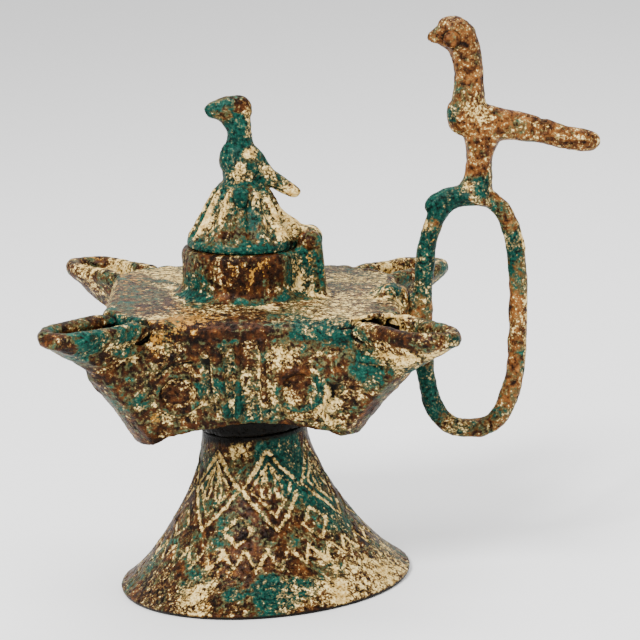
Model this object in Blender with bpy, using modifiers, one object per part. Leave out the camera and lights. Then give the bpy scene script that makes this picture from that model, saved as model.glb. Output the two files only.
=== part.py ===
"""A cast copper-alloy oil lamp: four open spouts on a hollow body, a bell foot, a hinged lid with a bird on it,
and a finger ring with a second bird. Metres, +Z up, the handle towards +X."""

import math

import bmesh
import bpy
from mathutils import Matrix, Vector
from mathutils.bvhtree import BVHTree

# The gap that is kept between pieces that touch
gap = 0.0003
weld_distance = 0.00003
flat_angle = math.radians(0.2)

# The foot, a bell with its rim on the ground
foot_height = 0.048
foot_rim_radius = 0.0440
foot_neck_radius = 0.0158
foot_wall = 0.0028
foot_edge_height = 0.0016
foot_roof = 0.0035
foot_segments = 32

# The body. Heights on it are above the neck, where it meets the foot, along its own leaning axis.
body_lean = math.radians(4.1)
wall = 0.0025
plate_height = 0.0408
plate_half_width = 0.0436
plate_end_reach = 0.0520
plate_end_half_width = 0.0100
plate_edge_radius = 0.0022
lip_thickness = 0.0034
side_foot_height = 0.0088
side_foot_reach = 0.0350
keel_reach = 0.0634
keel_height = 0.0255
keel_half_width = 0.0042
nub_reach = 0.0430
nub_height = 0.0028
nub_skew = -0.0012
underside_tilt = math.radians(2.8)
floor_height = 0.0050
neck_stub_radius = 0.0168

# The four spouts, each a small boat with a thick rolled rim
spout_reach = 0.0824
spout_root_reach = 0.0500
spout_half_width = 0.0096
spout_rim_radius = 0.0021
spout_rim_height = 0.0381
spout_round_length = 0.0150
spout_wall = 0.0024
spout_pan_depth = 0.0080
spout_tip_depth = 0.0022
spout_nose = 0.0003
spout_steps = 7
spout_shut_share = 0.2
cut_margin = 0.0002
wick_hole_width = 0.0108
wick_hole_length = 0.0240

# The filling collar and its mouth, set a little away from the handle
collar_offset = -0.0033
collar_top_height = 0.0548
collar_radius = 0.0180
collar_foot_radius = 0.0235
collar_fillet = 0.0040
mouth_radius = 0.0140
collar_segments = 36

# The hinge, whose pin lies across the lamp beside the collar
pin_radius = 0.0011
pin_reach = 0.0201
pin_rise = 0.0021
pin_head = 0.0008
lug_radius = 0.0036
lug_thickness = 0.0034
lug_root_flare = 0.0052
knuckle_radius = 0.0039
tongue_width = 0.0054

# The lid, a ribbed dome
lid_radius = 0.0165
lid_band_height = 0.0018
lid_height = 0.0190
lid_top_radius = 0.0066
lid_wall = 0.0022
lid_ribs = 12
lid_rib_depth = 0.0005
lid_knob_radius = 0.0024

# The finger ring and its seat on the body's wall
ring_centre_height = 0.0343
ring_half_width = 0.0143
ring_half_height = 0.0355
ring_bar_radius = 0.0029
ring_squareness = 2.8
ring_steps = 30
ring_boss_radius = 0.0027
seat_reach = 0.0462
seat_height = 0.0300
seat_bulge = 0.0090
seat_sink = 0.0050
seat_half_width = 0.0094
seat_half_height = 0.0138
ring_stand_off = 0.0188
ring_centre_reach = seat_reach + ring_stand_off
bracket_reach = 0.0070
bracket_half_width = 0.0041
bracket_half_height = 0.0108

# The two birds, whose points are counted in parts of their heights
ring_bird_height = 0.0550
lid_bird_height = 0.0270

# How far a cutting block goes past what it cuts
beyond = 0.1

# The relief on the body's four sides
relief_radius = 0.0010
relief_sink = 0.0003
ladder_half_width = 0.0039
ladder_rungs = 3
medallion_radius = 0.0062
medallion_offset = 0.0176
medallion_shift = -0.0034
medallion_height = 0.0192
rib_radius = 0.0012
rib_top_offset = -0.0112
rib_foot_offset = -0.0070

ALONG_Y = Matrix.Rotation(math.pi / 2, 4, "X")


def clear_scene():
    for obj in list(bpy.data.objects):
        bpy.data.objects.remove(obj, do_unlink=True)


def new_collection(name, hidden=False):
    collection = bpy.data.collections.new(name)
    collection.hide_render = hidden
    bpy.context.scene.collection.children.link(collection)
    return collection


def material(name, colour, roughness, metallic):
    made = bpy.data.materials.new(name)
    made.use_nodes = True
    shader = made.node_tree.nodes["Principled BSDF"]
    shader.inputs["Base Color"].default_value = (*colour, 1.0)
    shader.inputs["Roughness"].default_value = roughness
    shader.inputs["Metallic"].default_value = metallic
    return made


def add_object(name, data, collection, parent=None):
    obj = bpy.data.objects.new(name, data)
    collection.objects.link(obj)
    obj.parent = parent
    return obj


def add_empty(name, collection, parent, location, rotation=(0, 0, 0)):
    empty = add_object(name, None, collection, parent)
    empty.location = location
    empty.rotation_euler = rotation
    return empty


def hide(tool):
    tool.hide_render = True
    tool.display_type = "WIRE"
    return tool


def mesh_of(name, fill):
    """A mesh that a function fills in bmesh."""
    mesh = bpy.data.meshes.new(name)
    work = bmesh.new()
    fill(work)
    bmesh.ops.recalc_face_normals(work, faces=work.faces)
    if work.calc_volume(signed=True) < 0:
        bmesh.ops.reverse_faces(work, faces=work.faces)
    bmesh.ops.triangulate(work, faces=work.faces)
    work.to_mesh(mesh)
    work.free()
    return mesh


def evaluated_mesh(obj):
    bpy.context.view_layer.update()
    graph = bpy.context.evaluated_depsgraph_get()
    return bpy.data.meshes.new_from_object(obj.evaluated_get(graph))


def apply_modifiers(obj):
    mesh = evaluated_mesh(obj)
    obj.modifiers.clear()
    obj.data = mesh


def combine(obj, tool, operation):
    """Joins a tool to an object or cuts it away."""
    boolean = obj.modifiers.new(tool.name, "BOOLEAN")
    boolean.object = tool
    boolean.operation = operation
    apply_modifiers(obj)


def loft(work, rings):
    """Joins rings of as many points each, and closes both ends."""
    made = [[work.verts.new(point) for point in ring] for ring in rings]
    count = len(made[0])
    for first, second in zip(made, made[1:]):
        for i in range(count):
            j = (i + 1) % count
            work.faces.new((first[i], first[j], second[j], second[i]))
    work.faces.new(made[0])
    work.faces.new(list(reversed(made[-1])))


def screw(name, profile, segments, collection, parent):
    """A turned solid, from a profile of (radius, height) that starts and ends on the axis, top first."""
    mesh = bpy.data.meshes.new(name)
    points = [(radius, 0, height) for radius, height in profile]
    mesh.from_pydata(points, [(i, i + 1) for i in range(len(points) - 1)], [])
    obj = add_object(name, mesh, collection, parent)
    turn = obj.modifiers.new("turn", "SCREW")
    turn.steps = segments
    turn.render_steps = segments
    turn.use_merge_vertices = True
    turn.merge_threshold = 0.00001
    apply_modifiers(obj)
    return obj


def welded_mesh(curve, collection):
    """A curve's mesh, with its caps joined to its sides."""
    drawn = add_object(curve.name + " line", curve, collection)
    mesh = evaluated_mesh(drawn)
    bpy.data.objects.remove(drawn, do_unlink=True)
    work = bmesh.new()
    work.from_mesh(mesh)
    bmesh.ops.remove_doubles(work, verts=work.verts, dist=0.00001)
    bmesh.ops.recalc_face_normals(work, faces=work.faces)
    work.to_mesh(mesh)
    work.free()
    return mesh


def tubes(name, runs, collection, parent, sides=2):
    """Round bars in one mesh. Each run is (points, radii, closed)."""
    curve = bpy.data.curves.new(name, "CURVE")
    curve.dimensions = "3D"
    curve.bevel_depth = 1.0
    curve.bevel_resolution = sides
    curve.use_fill_caps = True
    for points, radii, closed in runs:
        spline = curve.splines.new("POLY")
        spline.points.add(len(points) - 1)
        spline.use_cyclic_u = closed
        for knot, point, radius in zip(spline.points, points, radii):
            knot.co = (*point, 1)
            knot.radius = radius
    return add_object(name, welded_mesh(curve, collection), collection, parent)


def ball(name, centre, radii, collection, parent, segments=10):
    """A ball drawn out to three radii."""
    place = Matrix.Translation(centre) @ Matrix.Diagonal((*radii, 1))

    def fill(work):
        bmesh.ops.create_uvsphere(work, u_segments=segments, v_segments=segments // 2 + 1, radius=1, matrix=place)

    return add_object(name, mesh_of(name, fill), collection, parent)


def bar_along_y(name, centre, radius, width, collection, parent, segments=20):
    """A round bar that lies across the lamp."""

    def fill(work):
        place = Matrix.Translation(centre) @ ALONG_Y
        bmesh.ops.create_cone(work, cap_ends=True, segments=segments, radius1=radius, radius2=radius,
                              depth=width, matrix=place)

    return add_object(name, mesh_of(name, fill), collection, parent)


def slab(name, outline, thickness, collection, parent):
    """A flat outline of (x, z) points, given a thickness across the lamp."""
    curve = bpy.data.curves.new(name, "CURVE")
    curve.dimensions = "2D"
    curve.fill_mode = "BOTH"
    curve.extrude = thickness / 2
    spline = curve.splines.new("POLY")
    spline.points.add(len(outline) - 1)
    spline.use_cyclic_u = True
    for knot, (x, z) in zip(spline.points, outline):
        knot.co = (x, z, 0, 1)
    mesh = welded_mesh(curve, collection)
    mesh.transform(ALONG_Y)
    return add_object(name, mesh, collection, parent)


def block(name, low, high, collection, parent):
    low, high = Vector(low), Vector(high)
    place = Matrix.Translation((low + high) / 2) @ Matrix.Diagonal((*(high - low), 1))

    def fill(work):
        bmesh.ops.create_cube(work, size=1, matrix=place)

    return add_object(name, mesh_of(name, fill), collection, parent)


def mix(first, second, share):
    return first + (second - first) * share


def body_levels(inset=0.0):
    """The body's cross sections from the plate down, as (side reach, side height, keel reach, keel height,
    flank reach, flank half width, tip half width)."""
    top = plate_height - inset
    edge = plate_height - plate_edge_radius
    lip = plate_height - lip_thickness - inset
    half = plate_half_width - inset
    end = plate_end_reach - inset
    end_width = plate_end_half_width - inset / 2
    low_side = side_foot_reach - inset
    low = side_foot_height + inset
    keel = keel_reach - 3 * inset
    nub = nub_reach - 2 * inset
    tip = max(keel_half_width - inset / 2, keel_half_width / 2)
    levels = [
        (half - plate_edge_radius, top, end - plate_edge_radius / 2, top, end - plate_edge_radius, end_width, tip),
        (half, edge - inset, end, edge - inset, end, end_width, tip),
        (half - 0.0004, lip, end - 0.0004, lip, end - 0.0004, end_width, tip),
    ]
    wall_top = lip - 0.0030
    nub_low = nub_height + inset
    keel_top = keel_height + inset
    down_the_keel = (
        (0.0, mix(end, keel, 0.30), wall_top),
        (0.25, keel, keel_top + 0.0015),
        (0.36, keel - 0.0012, keel_top - 0.0018),
        (0.68, mix(keel, nub, 0.52), mix(keel_top, nub_low, 0.50)),
        (0.90, mix(keel, nub, 0.86), mix(keel_top, nub_low, 0.84)),
    )
    for share, reach, height in down_the_keel:
        side = mix(half - 0.0012, low_side, share)
        levels.append((side, mix(wall_top, low, share), reach, height,
                       mix(side * 1.06, reach, 0.55), mix(end_width, end_width * 0.72, share), tip))
    levels.append((low_side, low, nub, nub_low, nub - 0.0035, end_width * 0.62, tip * 0.9))
    levels.append((low_side * 0.80, low, nub * 0.82, low - 0.0015, nub * 0.78, end_width * 0.55, tip))
    levels.append((neck_stub_radius * 1.05, floor_height + inset, neck_stub_radius * 1.1, floor_height + inset,
                   neck_stub_radius, end_width * 0.45, tip * 0.8))
    return levels


def body_ring(level):
    """One cross section of the body: four sides and four keels on the diagonals."""
    side, side_height, keel, keel_height_here, flank, flank_width, tip_width = level
    plate_low = plate_height - lip_thickness - wall
    share = max(0.0, plate_low - keel_height_here) / (plate_low - nub_height)
    points = []
    for quarter in range(4):
        turn = Matrix.Rotation(quarter * math.pi / 2, 3, "Z")
        diagonal = Matrix.Rotation(quarter * math.pi / 2 + math.pi / 4, 3, "Z")
        third = mix(side_height, keel_height_here, 0.3)
        two_thirds = mix(side_height, keel_height_here, 0.7)
        points += [
            turn @ Vector((side, 0, side_height)),
            turn @ Vector((side, side * 0.42, third)),
            diagonal @ Vector((flank, -flank_width, two_thirds)),
            diagonal @ Vector((keel - tip_width * 0.15, -tip_width, keel_height_here)),
            diagonal @ Vector((keel, 0, keel_height_here)),
            diagonal @ Vector((keel - tip_width * 0.15, tip_width, keel_height_here)),
            diagonal @ Vector((flank, flank_width, two_thirds)),
            turn @ Vector((side * 0.42, side, third)),
        ]
    for point in points:
        tilt = share * point.x * math.tan(underside_tilt)
        point.x += nub_skew * share
        point.z += tilt
    return points


def body_form(name, collection, parent, inset=0.0):
    rings = [body_ring(level) for level in body_levels(inset)]
    return add_object(name, mesh_of(name, lambda work: loft(work, rings)), collection, parent)


def spout_width(reach, inset):
    """Half the width between the spout's outer edges at this distance from the body's axis, or of an inner outline."""
    start = spout_reach - spout_round_length
    share = max(0.0, reach - start) / (spout_reach - inset - start)
    return (spout_half_width - inset) * math.sqrt(max(0.0, 1 - share ** 2))


def spout_depth(reach):
    """How far the keel lies below the rim's centre line: a straight slant from the tip down to the body's keel."""
    tip = spout_reach - spout_rim_radius
    share = (tip - reach) / (tip - keel_reach)
    root_depth = spout_rim_height - keel_height
    return mix(spout_tip_depth, root_depth, min(share, 1.0))


def spout_section(reach):
    """One cross section of a spout, as (across, height), with the rim's roll standing proud of the keel."""
    tip = spout_reach - spout_rim_radius
    roll = spout_rim_radius
    half = spout_width(reach, 0)
    inner = max(spout_width(reach, 2 * roll), half * spout_shut_share)
    depth = spout_depth(reach) + roll
    floor = min(depth - spout_wall, spout_pan_depth) if reach < tip - roll else roll * spout_shut_share
    side = [
        (half, -roll),
        (half * 0.84, -mix(2 * roll, depth, 0.20)),
        (half * 0.50, -mix(2 * roll, depth, 0.75) if depth > 2 * roll else -depth),
    ]
    top = [(mix(inner, half, 0.78), -roll * 0.1), (mix(inner, half, 0.28), -roll * 0.1)]
    pan = [(inner, -min(roll, floor)), (inner * 0.6, -floor)]
    right = [(0, -depth)] + list(reversed(side)) + top + pan
    left = [(-across, height) for across, height in reversed(right[1:])]
    return [(across, spout_rim_height + roll + height) for across, height in right + left]


def spouts(work):
    """Four boats on the diagonals."""
    tip = spout_reach - spout_nose
    reaches = [mix(spout_root_reach, tip, 1 - (1 - i / spout_steps) ** 1.7) for i in range(spout_steps + 1)]
    for quarter in range(4):
        turn = Matrix.Rotation(math.pi / 4 + quarter * math.pi / 2, 3, "Z")
        loft(work, [[turn @ Vector((reach, across, height)) for across, height in spout_section(reach)]
                    for reach in reaches])


def pan_rooms(work):
    """What the body's slope would fill in the pans, from under the plate's ends outwards."""
    start = plate_end_reach + 0.0012
    end = spout_reach - spout_round_length
    for quarter in range(4):
        turn = Matrix.Rotation(math.pi / 4 + quarter * math.pi / 2, 3, "Z")
        rings = []
        for reach in (start, mix(start, end, 0.5), end):
            half = spout_width(reach, 2 * spout_rim_radius) - cut_margin
            top = spout_rim_height + 3 * spout_rim_radius
            low = spout_rim_height + spout_rim_radius - spout_pan_depth + cut_margin
            shoulder = low + spout_rim_radius * 0.9
            outline = ((-half, top), (-half, shoulder), (-half * 0.6, low), (half * 0.6, low),
                       (half, shoulder), (half, top))
            rings.append([turn @ Vector((reach, across, height)) for across, height in outline])
        loft(work, rings)


def wick_holes(work):
    """The holes under the plate's ends, from the reservoir into the pans."""
    low = spout_rim_height + spout_rim_radius - spout_pan_depth + 1.5 * cut_margin
    high = plate_height - lip_thickness
    for quarter in range(4):
        turn = Matrix.Rotation(math.pi / 4 + quarter * math.pi / 2, 4, "Z")
        centre = Matrix.Translation((plate_end_reach - wick_hole_length / 3, 0, (low + high) / 2))
        size = Matrix.Diagonal((wick_hole_length, wick_hole_width, high - low, 1))
        bmesh.ops.create_cube(work, size=1, matrix=turn @ centre @ size)


def relief_runs(form):
    """Ladder and ring mouldings laid on the body's sides."""
    tree = BVHTree.FromPolygons([v.co for v in form.data.vertices], [p.vertices for p in form.data.polygons])

    def on_side(quarter, across, height):
        turn = Matrix.Rotation(quarter * math.pi / 2, 3, "Z")
        inwards = turn @ Vector((-1, 0, 0))
        hit = tree.ray_cast(turn @ Vector((spout_reach, across, height)), inwards)[0]
        return hit + inwards * relief_sink

    low = side_foot_height + 2.5 * relief_radius
    high = plate_height - lip_thickness - 2 * relief_radius
    runs = []
    for quarter in range(4):
        handle_side = quarter == 0
        for sign in (-1, 1):
            centre = medallion_shift + sign * medallion_offset
            ring = [on_side(quarter, centre + medallion_radius * math.cos(angle),
                            medallion_height + medallion_radius * math.sin(angle))
                    for angle in (math.tau * i / 8 for i in range(8))]
            runs.append((ring, [relief_radius] * len(ring), True))
            if handle_side:
                continue
            rail = [on_side(quarter, sign * ladder_half_width, mix(low, high, i / 2)) for i in range(3)]
            runs.append((rail, [relief_radius] * len(rail), False))
        if handle_side:
            continue
        rib = [on_side(quarter, mix(rib_foot_offset, rib_top_offset, i / 2), mix(low, high, i / 2)) for i in range(3)]
        runs.append((rib, [rib_radius] * len(rib), False))
        inner = ladder_half_width - 2.2 * relief_radius
        for i in range(ladder_rungs):
            height = mix(low, high, (i + 1) / (ladder_rungs + 1))
            rung = [on_side(quarter, -inner, height), on_side(quarter, inner, height)]
            runs.append((rung, [relief_radius] * 2, False))
    return runs


def pin_place():
    return Vector((collar_offset + pin_reach, 0, collar_top_height + pin_rise))


def add_collar(body, tools, parent):
    base = plate_height - plate_edge_radius
    arc = []
    for i in range(5):
        angle = math.radians(90 * i / 4)
        arc.append((collar_foot_radius - (collar_foot_radius - collar_radius) * math.sin(angle),
                    plate_height - 0.0004 + collar_fillet * (1 - math.cos(angle))))
    profile = [(0, collar_top_height), (collar_radius - 0.0010, collar_top_height),
               (collar_radius, collar_top_height - 0.0008)]
    profile += [(radius, height) for radius, height in reversed(arc)]
    profile += [(collar_foot_radius, base), (0, base)]
    collar = screw("collar", profile, collar_segments, tools, parent)
    collar.location.x = collar_offset
    combine(body, hide(collar), "UNION")


def add_lugs(body, tools, parent):
    """Two lugs beside the collar, round the pin, on one root that runs down into the plate."""
    pin = pin_place()
    width = tongue_width + 2 * gap + 2 * lug_thickness
    top = [(pin.x + lug_radius * math.cos(angle), pin.z + lug_radius * math.sin(angle))
           for angle in (math.pi * i / 8 for i in range(9))]
    foot = [(pin.x - lug_radius, plate_height - 0.0010), (pin.x + lug_root_flare, plate_height - 0.0010)]
    root = slab("lug root", top + foot, width, tools, parent)
    combine(body, hide(root), "UNION")


def cut_hinge(body, tools, parent):
    pin = pin_place()
    pocket = bar_along_y("knuckle room", pin, knuckle_radius + gap, tongue_width + 2 * gap, tools, parent)
    combine(body, hide(pocket), "DIFFERENCE")
    bore = bar_along_y("pin bore", pin, pin_radius + gap, 0.04, tools, parent, 16)
    combine(body, hide(bore), "DIFFERENCE")


def build_body(parts, tools, frame, finish):
    body = body_form("lamp_body", parts, frame)
    runs = relief_runs(body)
    combine(body, hide(add_object("spouts", mesh_of("spouts", spouts), tools, frame)), "UNION")
    combine(body, hide(tubes("relief", runs, tools, frame, 0)), "UNION")
    add_collar(body, tools, frame)
    add_lugs(body, tools, frame)
    seat = ball("handle seat", (seat_reach - seat_sink, 0, seat_height),
                (seat_bulge, seat_half_width, seat_half_height), tools, frame)
    face = block("seat face", (seat_reach, -beyond, -beyond), (beyond, beyond, beyond), tools, frame)
    combine(seat, hide(face), "DIFFERENCE")
    combine(body, hide(seat), "UNION")
    stub = screw("neck stub", [(0, floor_height + 0.002), (neck_stub_radius, floor_height + 0.002),
                               (neck_stub_radius, -0.003), (0, -0.003)], foot_segments, tools, frame)
    combine(body, hide(stub), "UNION")

    combine(body, hide(body_form("reservoir", tools, frame, wall)), "DIFFERENCE")
    combine(body, hide(add_object("pans", mesh_of("pans", pan_rooms), tools, frame)), "DIFFERENCE")
    combine(body, hide(add_object("wick holes", mesh_of("wick holes", wick_holes), tools, frame)), "DIFFERENCE")
    mouth = screw("mouth", [(0, collar_top_height + 0.005), (mouth_radius, collar_top_height + 0.005),
                            (mouth_radius, plate_height - wall - 0.004), (0, plate_height - wall - 0.004)],
                  collar_segments, tools, frame)
    mouth.location.x = collar_offset
    mouth.rotation_euler.z = math.pi / collar_segments
    combine(body, hide(mouth), "DIFFERENCE")
    cut_hinge(body, tools, frame)
    trim = screw("neck trim", [(0, foot_height + gap), (neck_stub_radius * 1.3, foot_height + gap),
                               (neck_stub_radius * 1.3, foot_height - 0.02), (0, foot_height - 0.02)],
                 foot_segments, tools, None)
    combine(body, hide(trim), "DIFFERENCE")
    body.data.materials.append(finish)
    return body


def foot_profile():
    """The bell's outer profile from the neck down, as (radius, height)."""
    flare = foot_rim_radius - foot_neck_radius
    points = []
    for drop in (0.0, 0.18, 0.34, 0.50, 0.64, 0.76, 0.87, 0.95):
        radius = foot_neck_radius + flare * (0.93 * drop ** 1.7 + 0.07 * drop ** 14)
        points.append((radius, mix(foot_height, foot_edge_height, drop)))
    points.append((foot_rim_radius, foot_edge_height))
    points.append((foot_rim_radius - 0.0003, 0))
    return points


def build_foot(parts, tools, frame, finish):
    outline = foot_profile()
    foot = screw("foot", [(0, foot_height)] + outline + [(0, 0)], foot_segments, parts, frame)
    top = foot_height - foot_roof
    inner = [(max(radius - foot_wall, 0.004), min(height, top)) for radius, height in outline[1:-2]]
    inner.append((foot_rim_radius - foot_wall - 0.0005, 0.0004))
    inner.append((foot_rim_radius - foot_wall, -0.002))
    hollow = screw("foot hollow", [(0, top), (foot_neck_radius - foot_wall, top)] + inner + [(0, -0.002)],
                   foot_segments, tools, frame)
    combine(foot, hide(hollow), "DIFFERENCE")
    foot.data.materials.append(finish)
    return foot


def lid_radius_at(rise):
    """The dome's radius at a height above the lid's lower edge: an ogive."""
    share = max(0.0, rise - lid_band_height) / (lid_height - lid_band_height)
    return mix(lid_radius, lid_top_radius, 0.82 * share + 0.18 * share ** 0.5)


def lid_form(work):
    segments = lid_ribs * 4
    rings = []
    for share in (0.0, 0.095, 0.16, 0.3, 0.5, 0.7, 0.87, 1.0):
        rise = lid_height * share
        radius = lid_radius_at(rise)
        depth = lid_rib_depth * min(1.0, max(0.0, share - 0.09) * 8) * min(1.0, (1.05 - share) * 5)
        rings.append([Vector(((radius + depth * math.cos(lid_ribs * angle)) * math.cos(angle),
                              (radius + depth * math.cos(lid_ribs * angle)) * math.sin(angle), rise))
                      for angle in (math.tau * i / segments for i in range(segments))])
    loft(work, rings)


def bird_runs(spine):
    """Bars along a bird's parts, from rows of (x, z, radius)."""
    return [([Vector((x, 0, z)) for x, z, radius in row], [radius for x, z, radius in row], False)
            for row in spine]


def bird_on_lid(tools, parent):
    base = collar_top_height + gap + lid_height
    trunk = [(0.4, -2.0, 5.8), (-0.3, 2.0, 5.6), (0.0, 5.2, 6.3), (-0.1, 8.2, 5.5), (-0.6, 11.5, 4.1),
             (-0.7, 15.5, 3.7), (-1.0, 19.5, 3.8), (-2.0, 22.5, 3.7), (-2.6, 24.3, 2.6)]
    beak = [(0.3, 22.0, 2.6), (-3.3, 22.0, 4.2), (-5.8, 21.6, 3.9), (-8.6, 21.6, 2.7), (-10.6, 20.6, 1.6)]
    tail = [(0.5, 5.0, 3.2), (5.5, 2.8, 3.0), (10.5, 0.2, 2.4), (15.4, -2.6, 1.9), (16.8, -3.5, 1.2)]
    unit = lid_bird_height / 27
    rows = [[(collar_offset + x * unit, base + z * unit, radius * unit) for x, z, radius in row]
            for row in (trunk, beak, tail)]
    return [hide(tubes("lid bird part", [run], tools, parent, 2)) for run in bird_runs(rows)]


def build_lid(parts, tools, hinge, finish):
    pin = pin_place()
    seam = collar_top_height + gap
    lid = add_object("lid", mesh_of("lid", lid_form), parts, hinge)
    lid.location = Vector((collar_offset, 0, seam)) - pin
    move = Matrix.Translation(Vector((collar_offset, 0, seam)))
    lid.data.transform(move)
    lid.location = -pin
    tongue = tongue_tool(tools, hinge)
    tongue.location = -pin
    combine(lid, hide(tongue), "UNION")
    knuckle = bar_along_y("knuckle", (0, 0, 0), knuckle_radius, tongue_width - 0.0001, tools, hinge)
    combine(lid, hide(knuckle), "UNION")
    for piece in bird_on_lid(tools, hinge):
        piece.location = -pin
        combine(lid, piece, "UNION")
    front = Vector((collar_offset, -lid_radius_at(lid_height * 0.78) + 0.0002, seam + lid_height * 0.78)) - pin
    knob = ball("lid knob", front, [lid_knob_radius] * 3, tools, hinge, 8)
    combine(lid, hide(knob), "UNION")
    hollow_profile = [(0, lid_height - 2.2 * lid_wall)]
    hollow_profile += [(lid_radius_at(lid_height * share) - lid_wall, lid_height * share)
                       for share in (0.74, 0.5, 0.25, 0.08)]
    hollow_profile += [(lid_radius - lid_wall, 0), (lid_radius - lid_wall, -0.002), (0, -0.002)]
    hollow = screw("lid hollow", hollow_profile, 24, tools, hinge)
    hollow.location = Vector((collar_offset, 0, seam)) - pin
    combine(lid, hide(hollow), "DIFFERENCE")
    for sign in (-1, 1):
        offset = sign * (tongue_width / 2 + gap + lug_thickness / 2)
        room = bar_along_y("lug room", (0, offset, 0), lug_radius + gap, lug_thickness + 2 * gap, tools, hinge)
        combine(lid, hide(room), "DIFFERENCE")
    bore = bar_along_y("knuckle bore", (0, 0, 0), pin_radius + gap, 0.04, tools, hinge, 16)
    combine(lid, hide(bore), "DIFFERENCE")
    lid.data.materials.append(finish)
    return lid


def tongue_tool(tools, parent):
    """The web from the dome's shoulder down to the knuckle."""
    pin = pin_place()
    seam = collar_top_height + gap
    shoulder = lid_height * 0.74
    outline = [
        (collar_offset + lid_radius_at(shoulder) - 0.0010, seam + shoulder),
        (collar_offset + lid_radius_at(shoulder * 0.6) + 0.0006, seam + shoulder * 0.66),
        (pin.x - knuckle_radius * 0.6, pin.z + knuckle_radius * 1.05),
        (pin.x + knuckle_radius * 0.1, pin.z + knuckle_radius * 0.98),
        (pin.x, pin.z),
        (pin.x - knuckle_radius * 0.8, seam + 0.0002),
        (collar_offset + lid_radius - lid_wall * 0.8, seam + 0.0002),
        (collar_offset + lid_radius_at(shoulder) - lid_wall * 0.8, seam + shoulder - 0.001),
    ]
    return slab("tongue", outline, tongue_width, tools, parent)


def build_pin(parts, frame, finish):
    pin = pin_place()
    length = tongue_width + 2 * gap + 2 * lug_thickness + 2 * pin_head
    made = bar_along_y("hinge_pin", (0, 0, 0), pin_radius, length, parts, frame, 16)
    made.location = pin
    made.data.materials.append(finish)
    return made


def ring_run():
    """The finger ring's centre line, an oval with squared shoulders."""
    points = []
    for i in range(ring_steps):
        angle = math.tau * i / ring_steps
        across = math.copysign(abs(math.cos(angle)) ** (2 / ring_squareness), math.cos(angle))
        up = math.copysign(abs(math.sin(angle)) ** (2 / ring_squareness), math.sin(angle))
        points.append(Vector((ring_centre_reach + ring_half_width * across, 0,
                              ring_centre_height + ring_half_height * up)))
    return points, [ring_bar_radius] * len(points), True


def bird_on_ring(tools, parent):
    """The handle's bird, on a stem over the ring, facing the lamp. Its own proportions, from the ring's top."""
    base = ring_centre_height + ring_half_height
    centre = ring_centre_reach
    unit = ring_bird_height / 55
    stem = [(0.2, -1.0, 6.4), (1.2, 2.0, 5.2), (2.0, 5.5, 4.2), (2.2, 11.0, 4.0), (2.3, 14.0, 4.4), (2.8, 16.6, 5.3),
            (2.8, 20.0, 4.6)]
    trunk = [(-4.6, 22.2, 2.6), (-2.8, 22.3, 4.0), (1.5, 22.0, 4.9), (7.0, 21.4, 4.7), (13.0, 20.6, 3.9),
             (20.0, 19.3, 3.3), (27.0, 17.8, 3.3), (33.0, 16.9, 3.4), (36.5, 16.6, 2.6), (38.2, 16.6, 1.2)]
    neck = [(-0.6, 21.0, 5.0), (-1.2, 26.0, 5.2), (-1.3, 31.0, 4.8), (-1.2, 36.0, 4.4), (-1.6, 41.0, 4.3),
            (-2.8, 45.0, 4.8), (-4.4, 48.4, 5.1), (-5.3, 50.6, 4.2), (-5.6, 52.6, 2.4)]
    beak = [(-4.6, 47.8, 4.4), (-8.6, 48.0, 3.9), (-11.4, 47.8, 2.3), (-13.6, 47.4, 0.9)]
    rows = [[(centre + x * unit, base + z * unit, radius * unit) for x, z, radius in row]
            for row in (stem, trunk, neck, beak)]
    return [hide(tubes("ring bird part", [run], tools, parent, 2)) for run in bird_runs(rows)]


def build_handle(parts, tools, frame, finish):
    handle = tubes("handle", [ring_run()], parts, frame, 2)
    bracket = ball("bracket", (seat_reach + gap, 0, seat_height),
                   (bracket_reach, bracket_half_width, bracket_half_height), tools, frame)
    inside = block("bracket face", (-beyond, -beyond, -beyond), (seat_reach + gap, beyond, beyond), tools, frame)
    combine(bracket, hide(inside), "DIFFERENCE")
    combine(handle, hide(bracket), "UNION")
    for piece in bird_on_ring(tools, frame):
        combine(handle, piece, "UNION")
    top = ring_centre_height + ring_half_height
    lump = ball("broken boss", (ring_centre_reach - ring_half_width * 0.8, 0, top - ring_boss_radius),
                (ring_boss_radius, ring_bar_radius * 1.07, ring_boss_radius), tools, frame, 8)
    combine(handle, hide(lump), "UNION")
    unit = ring_bird_height / 55
    for sign in (-1, 1):
        eye = ball("eye", (ring_centre_reach - 6.6 * unit, sign * 4.4 * unit, top + 47.2 * unit),
                   (2.9 * unit, 1.2 * unit, 2.9 * unit), tools, frame, 8)
        combine(handle, hide(eye), "UNION")
    handle.data.materials.append(finish)
    return handle


def finish_mesh(obj):
    """Joins points that the cuts left almost on each other, and faces that lie in one plane."""
    work = bmesh.new()
    work.from_mesh(obj.data)
    bmesh.ops.dissolve_degenerate(work, dist=weld_distance, edges=work.edges)
    bmesh.ops.dissolve_limit(work, angle_limit=flat_angle, verts=work.verts, edges=work.edges)
    bmesh.ops.triangulate(work, faces=work.faces, quad_method="BEAUTY", ngon_method="BEAUTY")
    bmesh.ops.dissolve_degenerate(work, dist=weld_distance, edges=work.edges)
    work.to_mesh(obj.data)
    work.free()
    obj.data.shade_smooth()
    obj.data.set_sharp_from_angle(angle=math.radians(40))


def centre_on_ground(root, made):
    """Moves the whole lamp so that its box stands centred on the origin."""
    bpy.context.view_layer.update()
    corners = [obj.matrix_world @ vertex.co for obj in made for vertex in obj.data.vertices]
    for axis in (0, 1):
        values = [corner[axis] for corner in corners]
        root.location[axis] = -(min(values) + max(values)) / 2
    root.location[2] = -min(corner[2] for corner in corners)


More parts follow.
